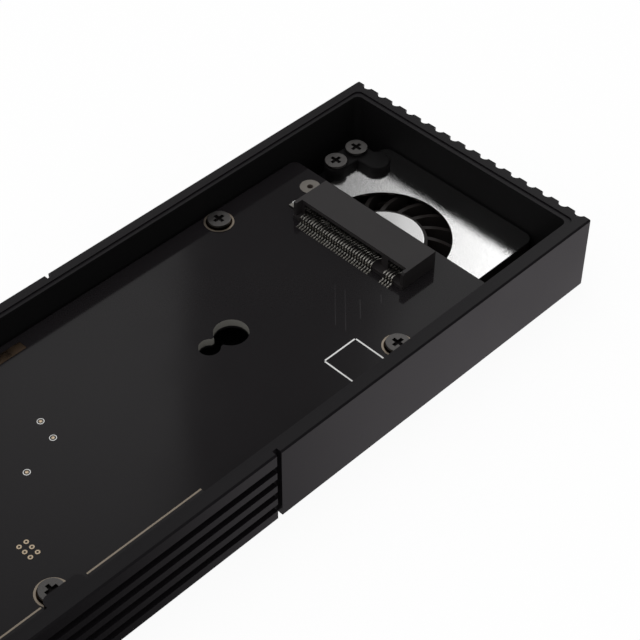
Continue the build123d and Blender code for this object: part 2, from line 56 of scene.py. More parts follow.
# Places read from the frame, in metres
TRAY_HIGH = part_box("enclosure_tray")[1]
BOARD_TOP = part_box("main_board")[1].z
TONGUE_LOW, TONGUE_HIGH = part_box("port_tongue")
FLUTED_END = TRAY_HIGH.x
FAN_SPOT = middle("rotor_shaft")
TIN_PAD_SPOT = middle("tin_pad")

# A hair's breadth, for the edge between one finish and the next
HAIR = 0.04 * MM

# Case: its walls, the step inside its rim, and the stretch where its skin turns duller
SIDE_WALL = 2.3 * MM
END_WALL = 2.7 * MM
LEDGE_DROP = 0.22 * MM
DULL_FROM = -50 * MM
DULL_TO = 15 * MM

# Screws: their middles, the reach of a cross recess, and how far a head shades its ring
BOARD_SCREWS = [(27.8 * MM, -17.8 * MM), (27.8 * MM, 17.8 * MM), (-31.2 * MM, -16.75 * MM),
                (-31.2 * MM, 16.75 * MM)]
BRACKET_SCREWS = [(50.08 * MM, 15.8 * MM), (54.54 * MM, 15.8 * MM)]
RECESS_REACH = 1.1 * MM
RECESS_ROUGHNESS = 0.8
RING_SHADE = 1.93 * MM

# Board: its pads, the near strips' covered edge, and how deep light reaches into a hole
TEST_PAD_SPOTS = [(-15.06 * MM, 5.58 * MM), (-15.7 * MM, 2.23 * MM), (-21.7 * MM, 0.05 * MM)]
PAD_DOT = 0.24 * MM
PAD_RING = 0.41 * MM
TIN_PAD_REACH = 0.5 * MM
NEAR_STRIP_EDGE = -17.63 * MM
HOLE_LIGHT_DEPTH = 1.15 * MM

# Cut edges of the board: the tilt past which a face counts as cut, and the bare fibre there
CUT_FACE_TILT = 0.5
FIBRE_SIZE = 0.12 * MM
FIBRE_DARK = 0.75
FIBRE_LIGHT = 1.2
FIBRE_ROUGHNESS = 0.6

# Printed outline and corner mark: distances from the fluted end, and places across the board
OUTLINE_FAR_END = 43.8 * MM
OUTLINE_NEAR_END = 37.8 * MM
OUTLINE_TOP = -12.8 * MM
OUTLINE_FOOT = -18.2 * MM
CORNER_FROM_END = 24.25 * MM
CORNER_ACROSS = 13.27 * MM
CORNER_LONG_LEG = 0.6 * MM
CORNER_SHORT_LEG = 0.55 * MM

# Traces: where each one starts, and its length
TRACES = [((30.26 * MM, -3.46 * MM), 7.9 * MM), ((30.53 * MM, -5.16 * MM), 7.9 * MM),
          ((30.57 * MM, -8.03 * MM), 3.6 * MM), ((33.36 * MM, -9.41 * MM), 1.6 * MM)]
TRACE_SHADE = 1.6

# Socket: its two groups of contacts with the key's gap between them, and their solder pads
CONTACT_PITCH = 0.5 * MM
LONG_GROUP = 29
KEY_GAP = 5
SHORT_GROUP = 4
FIRST_CONTACT_INSET = 0.1 * MM
UPPER_ROW_SHIFT = 0.25 * MM
PAD_PAST_FOOT = 0.12 * MM

# Impeller: where the blades' dull outer stretch begins, and where it is fully dull
BLADE_ROOT = 7.2 * MM
BLADE_TIP = 8.8 * MM

# Port: the strips on its tongue
STRIP_COUNT = 12
STRIP_PITCH = 0.5 * MM
STRIP_WIDTH = 0.26 * MM
STRIP_LIFT = 0.012 * MM
STRIP_START = 0.35 * MM
STRIP_END = 3.9 * MM
TONGUE_HALF = 0.35 * MM

# Bright sheet: the grain of its etch, too fine to see, and the shade of its rolling marks
ETCH_GRAIN = 0.07 * MM
STREAK_SHADE = 0.94


# Sizes and colours that a user would change

def colour_property(name, description, default):
    return bpy.props.FloatVectorProperty(name=name, description=description, default=default,
                                         size=3, min=0.0, max=1.0, subtype="COLOR")


def length_property(name, description, default):
    return bpy.props.FloatProperty(name=name, description=description, default=default,
                                   min=0.0, precision=5, unit="LENGTH")


def factor_property(name, description, default):
    return bpy.props.FloatProperty(name=name, description=description, default=default,
                                   min=0.0, max=1.0, subtype="FACTOR")


def strength_property(name, description, default):
    return bpy.props.FloatProperty(name=name, description=description, default=default, min=0.0)


def bearing_property(name, description, degrees):
    return bpy.props.FloatProperty(name=name, description=description, default=math.radians(degrees),
                                   subtype="ANGLE")


class CaseFinish(bpy.types.PropertyGroup):
    anodised: colour_property("Anodising", "Colour of the black anodised case", (0.0056, 0.0048, 0.0057))
    anodised_roughness: factor_property("Roughness", "Roughness of the anodised skin", 0.33)
    port_end_dulling: factor_property("Port end", "Roughness added towards the port end", 0.2)
    inside: colour_property("Inside", "Colour of the milled inside", (0.0049, 0.0046, 0.0049))
    inside_roughness: factor_property("Inside roughness", "Roughness of the milled inside", 0.7)
    grain_size: length_property("Grain", "Size of the blasted grain", 0.12 * MM)
    grain_depth: length_property("Grain depth", "Height of the blasted grain", 0.002 * MM)
    bracket: colour_property("Bracket", "Colour of the painted bracket", (0.0046, 0.0043, 0.0045))


class BoardFinish(bpy.types.PropertyGroup):
    mask: colour_property("Solder mask", "Colour of the glossy mask", (0.0083, 0.0074, 0.0081))
    mask_roughness: factor_property("Mask roughness", "Roughness of the glossy mask", 0.09)
    laminate: colour_property("Laminate", "Colour of the cut edge", (0.16, 0.155, 0.14))
    ink: colour_property("Ink", "Colour of the printed lines", (0.62, 0.62, 0.61))
    ink_width: length_property("Ink width", "Width of a printed line", 0.23 * MM)
    ink_height: length_property("Ink height", "Thickness of the ink", 0.015 * MM)
    trace_width: length_property("Trace width", "Width of a masked trace", 0.13 * MM)
    trace_height: length_property("Trace height", "Height of a masked trace", 0.012 * MM)
    gold: colour_property("Gold plating", "Colour of the plated copper", (0.62, 0.5, 0.36))
    worn: colour_property("Worn plating", "Colour of the plating on rings and strips", (0.32, 0.27, 0.215))
    # Painted shadow: near-black colour on the ring plating beside each screw head
    head_shadow: colour_property("Head shadow", "Painted shadow on the ring by a screw head", (0.015, 0.008, 0.004))
    # Painted shade: a darker copy of the plating colour for the far strips
    far_strip_shade: colour_property("Far strip shade", "Painted shade on the far strips", (0.11, 0.075, 0.05))
    bore: colour_property("Pad hole", "Colour down in the tinned pad's hole", (0.08, 0.064, 0.055))
    tin: colour_property("Tin", "Colour of the tinned pads", (0.22, 0.205, 0.185))


class SocketFinish(bpy.types.PropertyGroup):
    housing: colour_property("Housing", "Colour of the moulded socket", (0.017, 0.0152, 0.0155))
    contact: colour_property("Contacts", "Colour of the spring contacts", (0.62, 0.6, 0.55))
    solder: colour_property("Solder", "Colour of the solder on its pads", (0.27, 0.26, 0.24))
    pad_length: length_property("Pad length", "Length of a solder pad", 1.1 * MM)
    pad_width: length_property("Pad width", "Width of a solder pad", 0.24 * MM)
    pad_height: length_property("Pad height", "Height of the solder", 0.03 * MM)


class BlowerFinish(bpy.types.PropertyGroup):
    cover: colour_property("Cover", "Colour of the rolled steel cover", (0.97, 0.965, 0.96))
    can: colour_property("Rotor can", "Colour of the drawn rotor can", (0.93, 0.925, 0.92))
    plastic: colour_property("Plastic", "Colour of the impeller and housing", (0.0095, 0.0072, 0.0065))
    tip_roughness: factor_property("Blade tips", "Roughness of the blades' outer ends", 0.95)
    brush_length: length_property("Brush length", "Length of the rolling marks", 4.0 * MM)


class FixingFinish(bpy.types.PropertyGroup):
    screw: colour_property("Screws", "Colour of the nickel screws", (0.115, 0.11, 0.107))
    # Painted shade: near-black colour down in the screws' cross recesses
    recess: colour_property("Recess", "Colour down in the screws' crosses", (0.006, 0.0052, 0.0052))
    brass: colour_property("Brass", "Colour of the standoff", (0.6, 0.44, 0.2))


class InnerFinish(bpy.types.PropertyGroup):
    steel: colour_property("Motor steel", "Colour of the stator and the shaft", (0.42, 0.42, 0.43))
    magnet: colour_property("Magnet", "Colour of the rotor's magnet", (0.06, 0.06, 0.065))
    enamel: colour_property("Windings", "Colour of the enamelled copper", (0.5, 0.19, 0.08))
    bronze: colour_property("Bearing", "Colour of the sintered bearing", (0.42, 0.26, 0.12))
    port: colour_property("Port shell", "Colour of the drawn port shell", (0.55, 0.55, 0.56))
    chip: colour_property("Chips", "Colour of the moulded chips", (0.02, 0.02, 0.021))
    inductor: colour_property("Inductors", "Colour of the pressed inductors", (0.05, 0.05, 0.052))
    pad: colour_property("Soft pad", "Colour of the soft pad on the chip", (0.42, 0.46, 0.5))


class StudioLook(bpy.types.PropertyGroup):
    tent: strength_property("Tent", "Brightness of the white tent", 0.97)
    window: strength_property("Window", "Brightness of its right side", 1.14)
    gap: strength_property("Gap", "Brightness of the gap between the cloths", 0.2)
    overhead: strength_property("Overhead", "Share of its brightness high up", 0.62)
    dark: strength_property("Dark side", "Brightness behind the camera", 0.06)
    gap_from: bearing_property("Gap from", "Bearing where the gap begins", 41.2)
    gap_to: bearing_property("Gap to", "Bearing where the gap ends", 50.9)
    lens: bpy.props.FloatProperty(name="Lens", description="Focal length in millimetres",
                                  default=97.45, min=10.0)


GROUPS = {
    "case_finish": CaseFinish,
    "board_finish": BoardFinish,
    "socket_finish": SocketFinish,
    "blower_finish": BlowerFinish,
    "fixing_finish": FixingFinish,
    "inner_finish": InnerFinish,
    "studio_look": StudioLook,
}


# Shader helpers

# Span of the slow noise that moves a finish's roughness, and the least roughness
DRIFT_LOW = 0.3
DRIFT_HIGH = 0.7
LEAST_ROUGHNESS = 0.02
NOISE_MIDDLE = (0.5, 0.5, 0.5)


class Shader:
    """One material or node group being wired up."""

    def __init__(self, tree):
        self.tree = tree

    def node(self, kind, values=None, **settings):
        made = self.tree.nodes.new(kind)
        for name, value in settings.items():
            setattr(made, name, value)
        for name, value in (values or {}).items():
            self.feed(made.inputs[name], value)
        return made

    def feed(self, socket, value):
        if isinstance(value, bpy.types.NodeSocket):
            self.tree.links.new(value, socket)
        elif isinstance(value, (tuple, list)) and len(value) == 3 and socket.type == "RGBA":
            socket.default_value = (*value, 1.0)
        else:
            socket.default_value = value

    def maths(self, operation, a, b=0.0):
        return self.node("ShaderNodeMath", {0: a, 1: b}, operation=operation).outputs[0]

    def ramp(self, value, low, high, to_low=0.0, to_high=1.0):
        made = self.node("ShaderNodeMapRange", {"Value": value, "From Min": low, "From Max": high,
                                                "To Min": to_low, "To Max": to_high},
                         interpolation_type="SMOOTHSTEP")
        return made.outputs[0]

    def mix(self, factor, a, b, kind="RGBA"):
        """A blend from a to b, which are colours unless the kind says otherwise."""
        made = self.node("ShaderNodeMix", {"Factor": factor, "A": a, "B": b}, data_type=kind)
        return made.outputs["Result"]

    def place(self):
        return self.node("ShaderNodeTexCoord").outputs["Object"]

    def axes(self):
        return self.node("ShaderNodeSeparateXYZ", {"Vector": self.place()}).outputs

    def all_of(self, *masks):
        """1 only where every mask is 1."""
        shared = masks[0]
        for mask in masks[1:]:
            shared = self.maths("MULTIPLY", shared, mask)
        return shared

    def nearest(self, spots):
        """Distance in plan from the nearest of some points."""
        here = self.axes()
        flat = self.node("ShaderNodeCombineXYZ", {"X": here["X"], "Y": here["Y"]}).outputs[0]
        best = None
        for x, y in spots:
            gap = self.node("ShaderNodeVectorMath", {0: flat, 1: (x, y, 0.0)}, operation="DISTANCE")
            gap = gap.outputs["Value"]
            best = gap if best is None else self.maths("MINIMUM", best, gap)
        return best


def new_group(name, inputs, outputs):
    """An empty shader node group with float inputs and outputs."""
    tree = bpy.data.node_groups.new(name, "ShaderNodeTree")
    kind = "NodeSocketFloat"
    for label, value in inputs.items():
        tree.interface.new_socket(label, in_out="INPUT", socket_type=kind).default_value = value
    for label in outputs:
        tree.interface.new_socket(label, in_out="OUTPUT", socket_type=kind)
    shader = Shader(tree)
    return tree, shader, shader.node("NodeGroupInput"), shader.node("NodeGroupOutput")


def build_grain_group():
    """Fine speckle for blasted, moulded and printed surfaces, with a slow drift over it."""
    tree, s, given, out = new_group("fine_grain", {"Size": 0.1 * MM, "Drift Size": 8 * MM},
                                    ("Height", "Speckle", "Drift"))
    spot = s.place()
    scale = s.maths("DIVIDE", 1.0, given.outputs["Size"])
    speckle = s.node("ShaderNodeTexNoise", {"Vector": spot, "Scale": scale, "Detail": 3.0,
                                            "Roughness": 0.6})
    slow = s.maths("DIVIDE", 1.0, given.outputs["Drift Size"])
    drift = s.node("ShaderNodeTexNoise", {"Vector": spot, "Scale": slow, "Detail": 2.0})
    s.feed(out.inputs["Height"], speckle.outputs["Fac"])
    s.feed(out.inputs["Speckle"], speckle.outputs["Fac"])
    s.feed(out.inputs["Drift"], drift.outputs["Fac"])
    return tree


def build_brush_group():
    """Long fine lines along X, as rolling or brushing leaves them."""
    tree, s, given, out = new_group("brushed_lines", {"Length": 4 * MM, "Width": 0.06 * MM},
                                    ("Height", "Streak"))
    parts = s.node("ShaderNodeSeparateXYZ", {"Vector": s.place()})
    along = s.maths("DIVIDE", parts.outputs["X"], given.outputs["Length"])
    across = s.maths("DIVIDE", parts.outputs["Y"], given.outputs["Width"])
    spot = s.node("ShaderNodeCombineXYZ", {"X": along, "Y": across, "Z": parts.outputs["Z"]})
    lines = s.node("ShaderNodeTexNoise", {"Vector": spot.outputs[0], "Scale": 1.0, "Detail": 4.0,
                                          "Roughness": 0.7})
    s.feed(out.inputs["Height"], lines.outputs["Fac"])
    s.feed(out.inputs["Streak"], lines.outputs["Fac"])
    return tree


def grain(shader, size, drift):
    """Places the fine grain in a material, with its own sizes."""
    tree = bpy.data.node_groups.get("fine_grain") or build_grain_group()
    made = shader.node("ShaderNodeGroup", node_tree=tree)
    made.inputs["Size"].default_value = size
    made.inputs["Drift Size"].default_value = drift
    return made.outputs


def brush(shader, length, width):
    """Places the brushed lines in a material, with their own sizes."""
    tree = bpy.data.node_groups.get("brushed_lines") or build_brush_group()
    made = shader.node("ShaderNodeGroup", node_tree=tree)
    made.inputs["Length"].default_value = length
    made.inputs["Width"].default_value = width
    return made.outputs


def shade(colour, factor):
    """A colour made darker or lighter."""
    return tuple(min(1.0, c * factor) for c in colour)


def surface(name, colour, roughness, metallic=0.0, specular=0.5, size=0.1 * MM, depth=0.001 * MM,
            contrast=0.12, drift=8 * MM, spread=0.06):
    """A material with speckled colour, wandering roughness and a fine bump."""
    made = bpy.data.materials.new(name)
    made.use_nodes = True
    made.diffuse_color = (*colour, 1.0)
    s = Shader(made.node_tree)
    bsdf = made.node_tree.nodes["Principled BSDF"]
    noise = grain(s, size, drift)
    low, high = shade(colour, 1 - contrast), shade(colour, 1 + contrast)
    s.feed(bsdf.inputs["Base Color"], s.mix(noise["Speckle"], low, high))
    smoothest = max(LEAST_ROUGHNESS, roughness - spread)
    rough = s.ramp(noise["Drift"], DRIFT_LOW, DRIFT_HIGH, smoothest, roughness + spread)
    s.feed(bsdf.inputs["Roughness"], rough)
    bsdf.inputs["Metallic"].default_value = metallic
    bsdf.inputs["Specular IOR Level"].default_value = specular
    bump = s.node("ShaderNodeBump", {"Height": noise["Height"], "Distance": depth, "Strength": 1.0})
    s.feed(bsdf.inputs["Normal"], bump.outputs[0])
    return made, s, bsdf


def blend_input(s, bsdf, name, mask, value):
    """Changes one input of the finish where the mask is 1."""
    socket = bsdf.inputs[name]
    old = socket.links[0].from_socket if socket.links else socket.default_value
    kind = "RGBA" if socket.type == "RGBA" else "FLOAT"
    s.feed(socket, s.mix(mask, old, value, kind))


def dress(node, made):
    """Gives a CAD node its finish."""
    slots = NODES[node].data.materials
    slots.clear()
    slots.append(made)


def settle(name, mesh_maker, made, body="enclosure"):
    """Turns a bmesh into a piece with a finish, riding on a body."""
    data = bpy.data.meshes.new(name)
    work = bmesh.new()
    mesh_maker(work)
    work.normal_update()
    work.to_mesh(data)
    work.free()
    piece = bpy.data.objects.new(name, data)
    bpy.context.scene.collection.objects.link(piece)
    piece.data.materials.append(made)
    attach(piece, body)


# Mesh helpers

def add_bar(work, start, end, width, z0, z1):
    """A flat bar from start to end, lying between two levels."""
    a, b = Vector(start), Vector(end)
    along = (b - a).normalized() * (width / 2)
    side = Vector((-along.y, along.x))
    a, b = a - along, b + along
    ring = [a - side, b - side, b + side, a + side]
    add_prism(work, ring, z0, z1)


def add_prism(work, ring, z0, z1):
    """An upright prism over a flat outline."""
    low = [work.verts.new((p[0], p[1], z0)) for p in ring]
    high = [work.verts.new((p[0], p[1], z1)) for p in ring]
    work.faces.new(low[::-1])
    work.faces.new(high)
    for i in range(len(ring)):
        j = (i + 1) % len(ring)
        work.faces.new((low[i], low[j], high[j], high[i]))


def from_end(distance):
    """X of something this far from the fluted end."""
    return FLUTED_END - distance


# Case

def inside_mask(s):
    """1 on the inner walls and floor, 0 on the rim and the outer faces."""
    here = s.axes()
    across = s.maths("LESS_THAN", s.maths("ABSOLUTE", here["Y"]), TRAY_HIGH.y - SIDE_WALL + HAIR)
    along = s.maths("LESS_THAN", s.maths("ABSOLUTE", here["X"]), TRAY_HIGH.x - END_WALL + HAIR)
    below = s.maths("LESS_THAN", here["Z"], TRAY_HIGH.z - LEDGE_DROP - HAIR)
    return s.all_of(across, along, below)


class FinishCase(bpy.types.Operator):
    """Black anodising for the tray, darker and duller inside"""
    bl_idname = "enclosure.finish_case"
    bl_label = "Finish case"

    def execute(self, context):
        look = context.scene.case_finish
        made, s, bsdf = surface("anodised_case", look.anodised, look.anodised_roughness,
                                specular=0.155, size=look.grain_size, depth=look.grain_depth,
                                contrast=0.2, drift=20 * MM, spread=0.03)
        gloss = bsdf.inputs["Roughness"].links[0].from_socket
        dulled = s.ramp(s.axes()["X"], DULL_FROM, DULL_TO, look.port_end_dulling, 0.0)
        s.feed(bsdf.inputs["Roughness"], s.maths("ADD", gloss, dulled))
        inside = inside_mask(s)
        blend_input(s, bsdf, "Base Color", inside, tuple(look.inside))
        blend_input(s, bsdf, "Roughness", inside, look.inside_roughness)
        dress("enclosure_tray", made)
        return {"FINISHED"}


class FinishBracket(bpy.types.Operator):
    """Satin paint for the blower's bracket"""
    bl_idname = "enclosure.finish_bracket"
    bl_label = "Finish bracket"

    def execute(self, context):
        look = context.scene.case_finish
        made = surface("bracket_paint", look.bracket, roughness=0.5, specular=0.1, size=0.2 * MM,
                       depth=0.002 * MM, contrast=0.15, drift=4 * MM)[0]
        dress("fan_bracket", made)
        return {"FINISHED"}


# Board

class FinishBoard(bpy.types.Operator):
    """Glossy mask over the board, uncoated laminate at its cut edges with painted shade deep in holes,
    plated and tinned copper
    """
    bl_idname = "enclosure.finish_board"
    bl_label = "Finish board"

    def execute(self, context):
        look = context.scene.board_finish
        made, s, bsdf = surface("solder_mask", look.mask, look.mask_roughness, specular=0.195,
                                size=0.5 * MM, depth=0.0006 * MM, contrast=0.1, drift=14 * MM,
                                spread=0.02)
        self.bare_cut_edges(s, bsdf, look)
        bored = s.maths("LESS_THAN", s.nearest([TIN_PAD_SPOT]), TIN_PAD_REACH)
        blend_input(s, bsdf, "Base Color", bored, tuple(look.bore))
        dotted = s.maths("LESS_THAN", s.nearest(TEST_PAD_SPOTS), PAD_DOT)
        blend_input(s, bsdf, "Base Color", dotted, tuple(look.gold))
        dress("main_board", made)
        dress("via_rings", plated_copper("gold_plating", look.gold, roughness=0.3)[0])
        self.finish_rings(look)
        self.finish_strips(look)
        dress("tin_pad", surface("tinned_copper", look.tin, roughness=0.34, metallic=1.0, size=0.12 * MM,
                                 depth=0.004 * MM, contrast=0.15, drift=1 * MM)[0])
        self.finish_test_pads(look)
        return {"FINISHED"}

    def bare_cut_edges(self, s, bsdf, look):
        """Uncoated fibre on the upright faces, with painted shade deep in a hole."""
        direction = s.node("ShaderNodeTexCoord").outputs["Normal"]
        facing = s.node("ShaderNodeSeparateXYZ", {"Vector": direction})
        upright = s.maths("ABSOLUTE", facing.outputs["Z"])
        cut = s.maths("LESS_THAN", upright, CUT_FACE_TILT)
        layers = s.node("ShaderNodeTexNoise", {"Vector": s.place(), "Scale": 1 / FIBRE_SIZE, "Detail": 4.0})
        dark, light = shade(look.laminate, FIBRE_DARK), shade(look.laminate, FIBRE_LIGHT)
        fibre = s.mix(layers.outputs["Fac"], dark, light)
        blend_input(s, bsdf, "Base Color", cut, fibre)
        blend_input(s, bsdf, "Roughness", cut, FIBRE_ROUGHNESS)
        # Painted shade: cut faces below the depth that light reaches take the dark mask colour
        light_ends = BOARD_TOP - HOLE_LIGHT_DEPTH
        below = s.ramp(s.axes()["Z"], light_ends - 2 * HAIR, light_ends, 1.0, 0.0)
        blend_input(s, bsdf, "Base Color", s.all_of(cut, below), tuple(look.mask))

    def finish_test_pads(self, look):
        """A gold dot in a dark gap, with a white printed ring round it."""
        made, s, bsdf = surface("ringed_pads", look.ink, roughness=0.45, specular=0.3, size=0.1 * MM,
                                depth=0.002 * MM, contrast=0.08, drift=1 * MM)
        away = s.nearest(TEST_PAD_SPOTS)
        between = s.maths("LESS_THAN", away, PAD_RING)
        blend_input(s, bsdf, "Base Color", between, tuple(look.mask))
        dot = s.maths("LESS_THAN", away, PAD_DOT)
        blend_input(s, bsdf, "Base Color", dot, tuple(look.gold))
        blend_input(s, bsdf, "Metallic", dot, 1.0)
        dress("test_pads", made)

    def finish_rings(self, look):
        """Plating round the screw holes, shaded beside each head."""
        made, s, bsdf = plated_copper("ring_plating", look.worn, roughness=0.4)
        shaded = s.ramp(s.nearest(BOARD_SCREWS), RING_SHADE, RING_SHADE + HAIR, 1.0, 0.0)
        # Painted shadow on the ring plating next to each screw head
        blend_input(s, bsdf, "Base Color", shaded, tuple(look.head_shadow))
        dress("screw_rings", made)

    def finish_strips(self, look):
        """Plating on the edge strips, with mask over the outer part of the near ones and painted shade on
        the far ones.
        """
        made, s, bsdf = plated_copper("strip_plating", look.worn, roughness=0.3)
        covered = s.ramp(s.axes()["Y"], NEAR_STRIP_EDGE - HAIR, NEAR_STRIP_EDGE, 1.0, 0.0)
        blend_input(s, bsdf, "Base Color", covered, tuple(look.mask))
        blend_input(s, bsdf, "Metallic", covered, 0.0)
        # Painted shade: the far strips take a darker copy of the plating colour
        far = s.ramp(s.axes()["Y"], 0.0, HAIR)
        blend_input(s, bsdf, "Base Color", far, tuple(look.far_strip_shade))
        dress("edge_strips", made)


def plated_copper(name, colour, roughness):
    """Thin plating with a fine grain, as on pads and rings."""
    return surface(name, colour, roughness, metallic=1.0, specular=0.2, size=0.08 * MM,
                   depth=0.002 * MM, contrast=0.15, drift=2 * MM)


def outline_marks(work, look):
    """The printed part outline beside the near edge, and the corner mark by the socket."""
    z0, z1 = BOARD_TOP, BOARD_TOP + look.ink_height
    left, right = from_end(OUTLINE_FAR_END), from_end(OUTLINE_NEAR_END)
    top, foot = OUTLINE_TOP, OUTLINE_FOOT
    runs = [((left, foot), (left, top)), ((left, top), (right, top)), ((right, top), (right, foot))]
    for start, end in runs:
        add_bar(work, start, end, look.ink_width, z0, z1)
    corner = Vector((from_end(CORNER_FROM_END), CORNER_ACROSS))
    add_bar(work, corner, corner - Vector((0, CORNER_SHORT_LEG)), look.ink_width, z0, z1)
    add_bar(work, corner, corner + Vector((CORNER_LONG_LEG, 0)), look.ink_width, z0, z1)


class PrintBoard(bpy.types.Operator):
    """White printed lines on the board"""
    bl_idname = "enclosure.print_board"
    bl_label = "Print board"

    def execute(self, context):
        look = context.scene.board_finish
        ink = surface("white_ink", look.ink, roughness=0.6, size=0.06 * MM, depth=0.002 * MM,
                      contrast=0.08, drift=2 * MM)[0]
        settle("board_print", lambda work: outline_marks(work, look), ink)
        return {"FINISHED"}


def trace_runs(work, look):
    """Masked copper traces that run off at 45 degrees in front of the socket."""
    z0, z1 = BOARD_TOP - look.trace_height, BOARD_TOP + look.trace_height
    lean = Vector((-1, -1)).normalized()
    for start, length in TRACES:
        add_bar(work, start, Vector(start) + lean * length, look.trace_width, z0, z1)


class RaiseTraces(bpy.types.Operator):
    """Traces that show under the mask"""
    bl_idname = "enclosure.raise_traces"
    bl_label = "Raise traces"

    def execute(self, context):
        look = context.scene.board_finish
        made = surface("masked_copper", shade(look.mask, TRACE_SHADE), roughness=0.16, specular=0.3,
                       size=0.3 * MM, depth=0.001 * MM, contrast=0.1)[0]
        settle("board_traces", lambda work: trace_runs(work, look), made)
        return {"FINISHED"}


# Socket

def contact_rows():
    """Y of the lower contacts, the long group first."""
    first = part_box("socket_lower_contacts")[1].y - FIRST_CONTACT_INSET
    long_group = [first - CONTACT_PITCH * i for i in range(LONG_GROUP)]
    short_start = long_group[-1] - KEY_GAP * CONTACT_PITCH
    return long_group + [short_start - CONTACT_PITCH * i for i in range(SHORT_GROUP)]


def solder_pads(work, look):
    """A tinned pad under the foot of each lower and upper contact."""
    z0, z1 = BOARD_TOP, BOARD_TOP + look.pad_height
    half = look.pad_width / 2
    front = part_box("socket_lower_contacts")[0].x - PAD_PAST_FOOT
    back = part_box("socket_upper_contacts")[1].x + PAD_PAST_FOOT
    for y in contact_rows():
        add_bar(work, (front + half, y), (front + look.pad_length, y), look.pad_width, z0, z1)
        y_back = y + UPPER_ROW_SHIFT
        add_bar(work, (back - look.pad_length, y_back), (back - half, y_back), look.pad_width, z0, z1)


class FinishSocket(bpy.types.Operator):
    """Moulded housing, plated contacts and their solder pads"""
    bl_idname = "enclosure.finish_socket"
    bl_label = "Finish socket"

    def execute(self, context):
        look = context.scene.socket_finish
        housing = surface("socket_moulding", look.housing, roughness=0.42, specular=0.25,
                          size=0.12 * MM, depth=0.0025 * MM, contrast=0.1, drift=5 * MM)[0]
        dress("socket_housing", housing)
        contact = surface("contact_plating", look.contact, roughness=0.24, metallic=1.0,
                          size=0.1 * MM, depth=0.001 * MM, contrast=0.12, drift=1 * MM)[0]
        dress("socket_lower_contacts", contact)
        dress("socket_upper_contacts", contact)
        tin = surface("socket_solder", look.solder, roughness=0.3, metallic=1.0, size=0.2 * MM,
                      depth=0.006 * MM, contrast=0.2, drift=1 * MM)[0]
        dress("socket_tabs", tin)
        settle("socket_pads", lambda work: solder_pads(work, look), tin)
        return {"FINISHED"}


# Fixings

class FinishFixings(bpy.types.Operator):
    """Nickel screws and the brass standoff"""
    bl_idname = "enclosure.finish_fixings"
    bl_label = "Finish fixings"

    def execute(self, context):
        look = context.scene.fixing_finish
        self.finish_screws("board_screws", BOARD_SCREWS, look)
        self.finish_screws("bracket_screws", BRACKET_SCREWS, look)
        brass = surface("turned_brass", look.brass, roughness=0.28, metallic=1.0, size=0.1 * MM,
                        depth=0.002 * MM, contrast=0.12, drift=1 * MM)[0]
        dress("drive_standoff", brass)
        return {"FINISHED"}

    def finish_screws(self, node, spots, look):
        """Nickel with dark crosses: deep in a recess next to no light comes back."""
        made, s, bsdf = surface(node + "_nickel", look.screw, roughness=0.36, metallic=1.0, specular=0.1,
                                size=0.15 * MM, depth=0.004 * MM, contrast=0.2, drift=1.2 * MM)
        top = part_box(node)[1].z
        low = s.maths("LESS_THAN", s.axes()["Z"], top - HAIR)
        within = s.maths("LESS_THAN", s.nearest(spots), RECESS_REACH)
        recess = s.all_of(low, within)
        # Painted shade: dark matte colour down in each cross recess
        blend_input(s, bsdf, "Base Color", recess, tuple(look.recess))
        blend_input(s, bsdf, "Metallic", recess, 0.0)
        blend_input(s, bsdf, "Roughness", recess, RECESS_ROUGHNESS)
        dress(node, made)


# Blower and its motor

def rolled_metal(name, colour, roughness, length, width, etch=0.0):
    """Bright metal with long rolling marks, and a fine even etch where one is given."""
    made, s, bsdf = surface(name, colour, roughness, metallic=1.0, size=0.3 * MM,
                            depth=0.0004 * MM, contrast=0.04, drift=6 * MM, spread=0.03)
    lines = brush(s, length, width)
    base = bsdf.inputs["Base Color"].links[0].from_socket
    bump = bsdf.inputs["Normal"].links[0].from_node
    s.feed(bsdf.inputs["Base Color"], s.mix(lines["Streak"], shade(colour, STREAK_SHADE), base))
    s.feed(bump.inputs["Height"], lines["Height"])
    if etch:
        s.feed(bump.inputs["Normal"], etched_normal(s, etch))
    return made


def etched_normal(s, amount):
    """The surface's own direction, scattered by a grain too fine to see."""
    pits = s.node("ShaderNodeTexNoise", {"Vector": s.place(), "Scale": 1 / ETCH_GRAIN, "Detail": 0.0})
    about = s.node("ShaderNodeVectorMath", {0: pits.outputs["Color"], 1: NOISE_MIDDLE},
                   operation="SUBTRACT").outputs[0]
    lean = s.node("ShaderNodeVectorMath", {0: about, "Scale": amount}, operation="SCALE").outputs[0]
    own = s.node("ShaderNodeNewGeometry").outputs["Normal"]
    added = s.node("ShaderNodeVectorMath", {0: own, 1: lean}, operation="ADD").outputs[0]
    return s.node("ShaderNodeVectorMath", {0: added}, operation="NORMALIZE").outputs[0]


class FinishBlower(bpy.types.Operator):
    """Bright cover over the dark moulded scroll"""
    bl_idname = "enclosure.finish_blower"
    bl_label = "Finish blower"

    def execute(self, context):
        look = context.scene.blower_finish
        cover = rolled_metal("rolled_cover", look.cover, roughness=0.08, length=look.brush_length,
                             width=0.08 * MM, etch=0.17)
        dress("blower_cover", cover)
        housing = surface("blower_moulding", look.plastic, roughness=0.45, specular=0.4,
                          size=0.15 * MM, depth=0.003 * MM, contrast=0.15, drift=4 * MM)[0]
        dress("blower_housing", housing)
        dress("port_tongue", housing)
        return {"FINISHED"}


